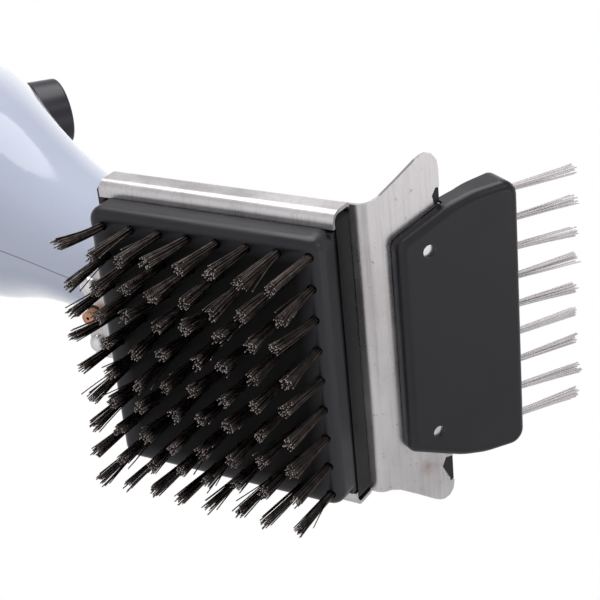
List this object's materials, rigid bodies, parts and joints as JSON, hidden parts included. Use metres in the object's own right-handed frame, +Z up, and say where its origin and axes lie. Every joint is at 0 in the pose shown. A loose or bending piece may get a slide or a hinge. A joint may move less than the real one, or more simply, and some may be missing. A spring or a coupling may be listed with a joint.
{
  "type": "grill cleaning brush",
  "caption": "Grill cleaning brush with a water tank handle, a sheet steel head, a sliding bristle block and an angled edge brush.",
  "frame": {"origin": "bottom centre of the whole brush as it stands on its main bristle tips", "axes": "+X towards the bristle head, -X along the handle, +Y to the left in use, +Z up, main bristles point down"},
  "size_m": [0.444, 0.126, 0.2212],
  "materials": {
    "reservoir_plastic": "glossy pale bluish white",
    "neck_plastic": "glossy pale bluish white",
    "bracket_steel": "mill finish with faint streaks",
    "screw_steel": "bright",
    "brass_insert": "machined",
    "outlet_copper": "copper, slightly tarnished",
    "seal_rubber": "matte",
    "black_plastic": "satin black",
    "knob_plastic": "satin charcoal",
    "dark_wire": "dark oiled wire",
    "bright_wire": "bright wire"
  },
  "bodies": {
    "reservoir": {"body_left_shell": "reservoir_plastic", "body_right_shell": "reservoir_plastic", "hang_eye": "neck_plastic", "head_bracket": "bracket_steel", "rear_dome_rivets": "screw_steel", "front_pan_screws": "screw_steel", "rear_rivet_sleeves": "brass_insert", "front_threaded_inserts": "brass_insert", "outlet_tube": "outlet_copper", "outlet_grommet": "seal_rubber", "air_valve_body": "black_plastic", "air_valve_lock_nut": "brass_insert", "fill_neck": "neck_plastic", "fill_neck_seal": "seal_rubber", "fill_neck_lock_ring": "black_plastic"},
    "main_brush": {"main_brush_block": "black_plastic", "main_bristle_tufts": "dark_wire", "main_tuft_anchors": "bright_wire"},
    "side_brush": {"side_brush_block": "black_plastic", "side_brush_pins": "screw_steel", "side_bristle_tufts": "bright_wire", "side_tuft_anchors": "bright_wire"},
    "knob": {"valve_knob": "knob_plastic", "knob_screw": "screw_steel", "air_valve_stem": "brass_insert", "stem_o_rings": "seal_rubber"},
    "cap_seal": {"fill_cap_gasket": "seal_rubber"},
    "cap": {"fill_cap": "knob_plastic"}
  },
  "joints": [
    {"name": "main_brush_slide", "type": "slide", "parent": "reservoir", "child": "main_brush", "axis": [1, 0, 0], "range_m": [0, 0.095]},
    {"name": "side_brush_slide", "type": "slide", "parent": "reservoir", "child": "side_brush", "axis": [0.5446, 0, 0.8387], "range_m": [0, 0.024]},
    {"name": "knob_turn", "type": "hinge", "parent": "reservoir", "child": "knob", "pos_m": [-0.08967, 0, 0.2013], "axis": [0.515, 0, 0.8572], "range_deg": [0, 90]},
    {"name": "cap_lift", "type": "slide", "parent": "reservoir", "child": "cap_seal", "axis": [-1, 0, 0], "range_m": [0, 0.009]},
    {"name": "cap_turn", "type": "hinge", "parent": "cap_seal", "child": "cap", "pos_m": [-0.20797, 0, 0.178], "axis": [-1, 0, 0], "range_deg": [0, 810]}
  ],
  "couplings": [
    {"joint": "cap_lift", "follows": "cap_turn", "m_per_rad": 0.000636}
  ]
}
